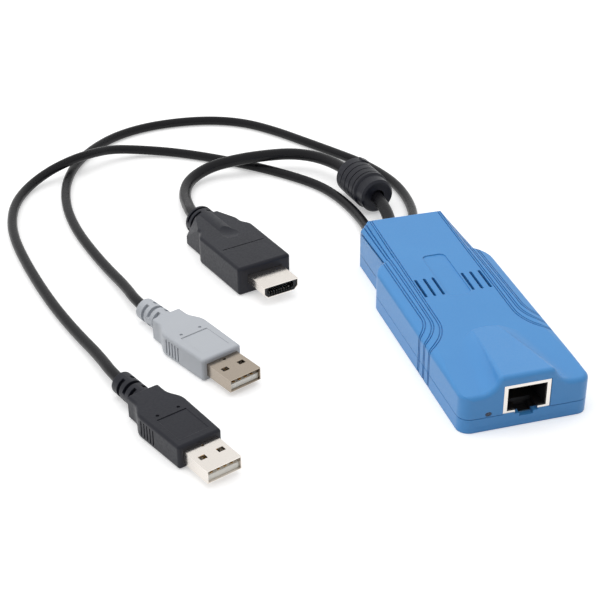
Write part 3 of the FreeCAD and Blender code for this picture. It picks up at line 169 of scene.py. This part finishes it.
SLOT_FINISH = {
    "blue_case": "satin_blue_abs", "screw_steel": "zinc_steel", "clear_lens": "clear_acrylic_painted_shade",
    "led_body": "led_epoxy", "board_green": "solder_mask", "chip_black": "black_pbt", "can_nickel": "bright_nickel",
    "grey_plug_nickel": "warm_nickel_painted_shade", "capacitor_tan": "tan_ceramic", "header_white": "white_nylon",
    "wire_red": "red_pvc", "contact_gold": "contact_gold", "bush_black": "black_rubber",
    "cable_charcoal": "charcoal_pvc", "ferrite_grey": "ferrite_grey", "grip_charcoal": "charcoal_grip",
    "grip_grey": "grey_grip", "tongue_ivory": "ivory_nylon", "insert_black": "black_pbt",
}


def paint(piece, finish):
    """Gives a piece one finish in place of whatever it had."""
    piece.data.materials.clear()
    piece.data.materials.append(FINISHES[finish])


for part in frame["record"]["subparts"]:
    paint(NODES[part["node"]], SLOT_FINISH[part["material_slot"]])
paint(NODES["video_plug_contacts"], "bright_tin")


# ---------------------------------------------------------------- leads
def lead(name, node, route, diameter):
    """A lead: one smooth line whose control points are the route's, with a round section."""
    line = bpy.data.curves.new(name, "CURVE")
    line.dimensions = "3D"
    line.resolution_u = LEAD_STEPS
    line.bevel_depth = diameter / 2
    line.bevel_resolution = LEAD_SIDES
    line.use_fill_caps = True
    spline = line.splines.new("NURBS")
    spline.points.add(len(route) - 1)
    for point, place in zip(spline.points, route):
        point.co = (*(value * MM for value in place), 1.0)
    spline.order_u = 3
    spline.use_endpoint_u = True
    piece = bpy.data.objects.new(name, line)
    bpy.context.scene.collection.objects.link(piece)
    paint(piece, "charcoal_pvc")
    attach(piece, "root")
    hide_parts(node)


VIDEO_ROUTE = [
    (0, 52, 4.9), (0, 66, 4.9), (3.41, 86.35, 7.5), (-1.22, 118.5, 7.5), (-7.5, 133.5, 7.0), (-17.5, 141.2, 6.9),
    (-30, 141.6, 7.4), (-41, 141.5, 7.2), (-53, 143.2, 4.8), (-63.3, 137.2, 2.8), (-67.8, 125.5, 2.4),
    (-69, 112.5, 3.8), (-69.42, 100.73, 5.8), (-66.04, 88.38, 5.8)]
LEFT_ROUTE = [
    (-8.5, 52, 4.9), (-8.5, 63, 4.9), (-7.3, 74, 3.6), (-6.4, 84.5, 2.3), (-6.9, 95.5, 1.9), (-9.3, 108.5, 1.9),
    (-13.6, 119.4, 1.95), (-21, 130, 1.9), (-32, 142.5, 1.9), (-47.5, 156.5, 1.9), (-62, 167.2, 1.9),
    (-76, 172.8, 2.6), (-88.5, 171.5, 5.2), (-98.5, 165.5, 7.3), (-108.5, 161, 7.2), (-118.5, 158.4, 4.4),
    (-127.5, 151.5, 2), (-134, 138.5, 1.9), (-137.1, 122.5, 1.9), (-137.3, 107, 1.9), (-135.6, 90, 1.9),
    (-132.9, 71.5, 1.9), (-129.4, 53, 1.9), (-124.7, 34, 2.1), (-119.9, 16, 3.3), (-117.24, 1.63, 4.1),
    (-112.81, -9.85, 4.1)]
RIGHT_ROUTE = [
    (8.5, 52, 4.9), (8.5, 63, 4.9), (11.2, 74, 4.1), (15, 85, 2.8), (17.3, 97.5, 1.9), (17.4, 109.5, 1.9),
    (15, 121.5, 1.9), (10.4, 134, 1.9), (2.8, 147, 1.9), (-6.2, 161.5, 1.9), (-15.9, 177, 1.9),
    (-26.5, 189.4, 1.9), (-39.5, 196.4, 1.9), (-54.5, 198.9, 1.9), (-70.5, 197.6, 1.9), (-84.9, 191.5, 1.9),
    (-96.4, 181, 1.9), (-104.8, 169, 1.9), (-110.4, 155.5, 1.9), (-113.5, 141.5, 1.9), (-114.7, 125.5, 1.9),
    (-113.6, 108, 1.9), (-110.7, 91, 1.9), (-107.2, 74.5, 2.1), (-103.6, 58.5, 3.2), (-101.68, 44.03, 4.1),
    (-96.89, 32.70, 4.1)]
lead("video_lead", "video_cable", VIDEO_ROUTE, 0.0048)
lead("data_lead_left", "data_cable_left", LEFT_ROUTE, 0.0038)
lead("data_lead_right", "data_cable_right", RIGHT_ROUTE, 0.0038)


# ---------------------------------------------------------------- studio
WHITE = (1.0, 1.0, 1.0, 1.0)
TABLE_GREY = (0.8, 0.8, 0.8, 1.0)
TABLE_REACH = 6.0
TABLE_TOP = -0.1 * MM  # just under the object, so that no face lies in its plane
FLOOR_LIFT = 0.38      # glow that brings the lit table up to white where it is seen
ROOM_LOW = 0.16        # the room's light from low in front
ROOM_HIGH = 1.0        # its light from above and behind
ROOM_BEHIND = 0.6      # how much a direction behind counts as one above
ROOM_SEEN = 0.9        # the least that the camera, metal or glass sees of the room
CENTRE = (-0.06, 0.07, 0.0)


def seen_rays(tree):
    """1 for a ray from the camera, or one mirrored or let through by the object, and otherwise 0."""
    rays = add(tree, "ShaderNodeLightPath").outputs
    either = add(tree, "ShaderNodeMath", {0: rays["Is Camera Ray"], 1: rays["Is Glossy Ray"]}, operation="MAXIMUM")
    return add(tree, "ShaderNodeMath", {0: either.outputs[0], 1: rays["Is Transmission Ray"]},
               operation="MAXIMUM").outputs[0]


def floor():
    """A white table: where the camera, metal or glass sees it, it is lifted to paper white, and it keeps shadows."""
    mesh = bpy.data.meshes.new("studio_floor")
    corners = [(x * TABLE_REACH, y * TABLE_REACH, TABLE_TOP) for x, y in ((-1, -1), (1, -1), (1, 1), (-1, 1))]
    mesh.from_pydata(corners, [], [(0, 1, 2, 3)])
    piece = bpy.data.objects.new("studio_floor", mesh)
    bpy.context.scene.collection.objects.link(piece)
    made, tree, out = blank_material("white_table")
    lift = add(tree, "ShaderNodeMath", {0: seen_rays(tree), 1: FLOOR_LIFT}, operation="MULTIPLY")
    lit = add(tree, "ShaderNodeBsdfDiffuse", {"Color": TABLE_GREY})
    glow = add(tree, "ShaderNodeEmission", {"Color": WHITE, "Strength": lift.outputs[0]})
    total = add(tree, "ShaderNodeAddShader", {0: lit.outputs[0], 1: glow.outputs[0]})
    tree.links.new(total.outputs[0], out.inputs["Surface"])
    mesh.materials.append(made)


def world():
    """Light from a white room: bright above and behind, and dim low in front, so that fronts are darker than tops.

    What the camera, metal or glass sees of it is nearly even white."""
    made = bpy.data.worlds.new("studio_room")
    made.use_nodes = True
    tree = made.node_tree
    tree.nodes.clear()
    way = add(tree, "ShaderNodeSeparateXYZ", {"Vector": add(tree, "ShaderNodeTexCoord").outputs["Generated"]})
    rise = add(tree, "ShaderNodeMath", {0: way.outputs["Y"], 1: ROOM_BEHIND, 2: way.outputs["Z"]},
               operation="MULTIPLY_ADD")
    level = add(tree, "ShaderNodeMapRange",
                {"Value": rise.outputs[0], "From Min": -0.3, "From Max": 1.0, "To Min": ROOM_LOW, "To Max": ROOM_HIGH})
    pale = add(tree, "ShaderNodeMath", {0: seen_rays(tree), 1: ROOM_SEEN}, operation="MULTIPLY")
    strength = add(tree, "ShaderNodeMath", {0: level.outputs["Result"], 1: pale.outputs[0]}, operation="MAXIMUM")
    back = add(tree, "ShaderNodeBackground", {"Color": WHITE, "Strength": strength.outputs[0]})
    add(tree, "ShaderNodeOutputWorld", {"Surface": back.outputs["Background"]}, is_active_output=True)
    bpy.context.scene.world = made


def soft_light(name, place, target, size, power):
    """A square soft box aimed at a point."""
    made = bpy.data.lights.new(name, "AREA")
    made.shape = "SQUARE"
    made.size = size
    made.energy = power
    piece = bpy.data.objects.new(name, made)
    piece.location = place
    # metal mirrors the room's even light, not the lamp, which would burn its flat faces out
    piece.visible_glossy = False
    piece.rotation_mode = "QUATERNION"
    piece.rotation_quaternion = (Vector(target) - Vector(place)).to_track_quat("-Z", "Y")
    bpy.context.scene.collection.objects.link(piece)


floor()
world()
soft_light("overhead_box", (-0.10, 0.02, 0.95), CENTRE, 0.8, 2.4)
soft_light("left_box", (-1.0, 0.15, 0.45), CENTRE, 0.6, 1.8)


# ---------------------------------------------------------------- camera
def camera(place, azimuth, elevation, roll, lens):
    """A camera that looks along an azimuth, down by an elevation, and leans by a roll, in degrees."""
    turn, fall, lean = (math.radians(value) for value in (azimuth, elevation, roll))
    back = Vector((math.sin(turn) * math.cos(fall), -math.cos(turn) * math.cos(fall), math.sin(fall)))
    right = (-back).cross(Vector((0, 0, 1))).normalized()
    up = right.cross(-back)
    side = right * math.cos(lean) + up * math.sin(lean)
    top = up * math.cos(lean) - right * math.sin(lean)
    made = bpy.data.cameras.new("product_camera")
    made.sensor_width = 36.0
    made.lens = lens
    made.clip_start = 0.02
    made.clip_end = 20.0
    piece = bpy.data.objects.new("product_camera", made)
    piece.matrix_world = Matrix.Translation(place) @ Matrix((side, top, back)).transposed().to_4x4()
    bpy.context.scene.collection.objects.link(piece)
    bpy.context.scene.camera = piece


camera((-0.16201, -0.36676, 0.2510), -16.14, 30.88, -0.47, 82.8)
bpy.context.scene.view_settings.view_transform = "Standard"
